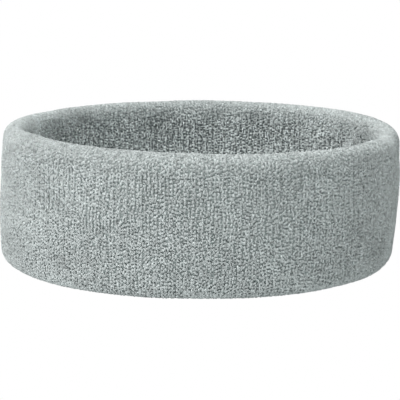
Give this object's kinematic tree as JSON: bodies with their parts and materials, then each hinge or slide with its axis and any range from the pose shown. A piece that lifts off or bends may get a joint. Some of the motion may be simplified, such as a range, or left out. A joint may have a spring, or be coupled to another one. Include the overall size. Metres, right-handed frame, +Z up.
{
  "type": "sports headband",
  "caption": "Ring of light grey terry for the forehead, folded double with rolled top and bottom edges and a seam low on the inside.",
  "frame": {"origin": "middle of the ring, in the plane that the bottom fold rests on", "axes": "+Z up through the head opening, -Y towards the front of the forehead, +X to the right when seen from the front"},
  "size_m": [0.1708, 0.1728, 0.0581],
  "materials": {
    "terry_pile": "matt cotton loops",
    "ground_knit": "matt fine knit",
    "elastic": "covered rubber thread",
    "sewing_thread": "satin polyester thread"
  },
  "bodies": {
    "root": {"terry_pile": "terry_pile", "ground_knit": "ground_knit", "elastic_thread_1": "elastic", "elastic_thread_2": "elastic", "elastic_thread_3": "elastic", "elastic_thread_4": "elastic", "seam_needle_thread": "sewing_thread", "seam_upper_looper_thread": "sewing_thread", "seam_lower_looper_thread": "sewing_thread"}
  },
  "joints": []
}
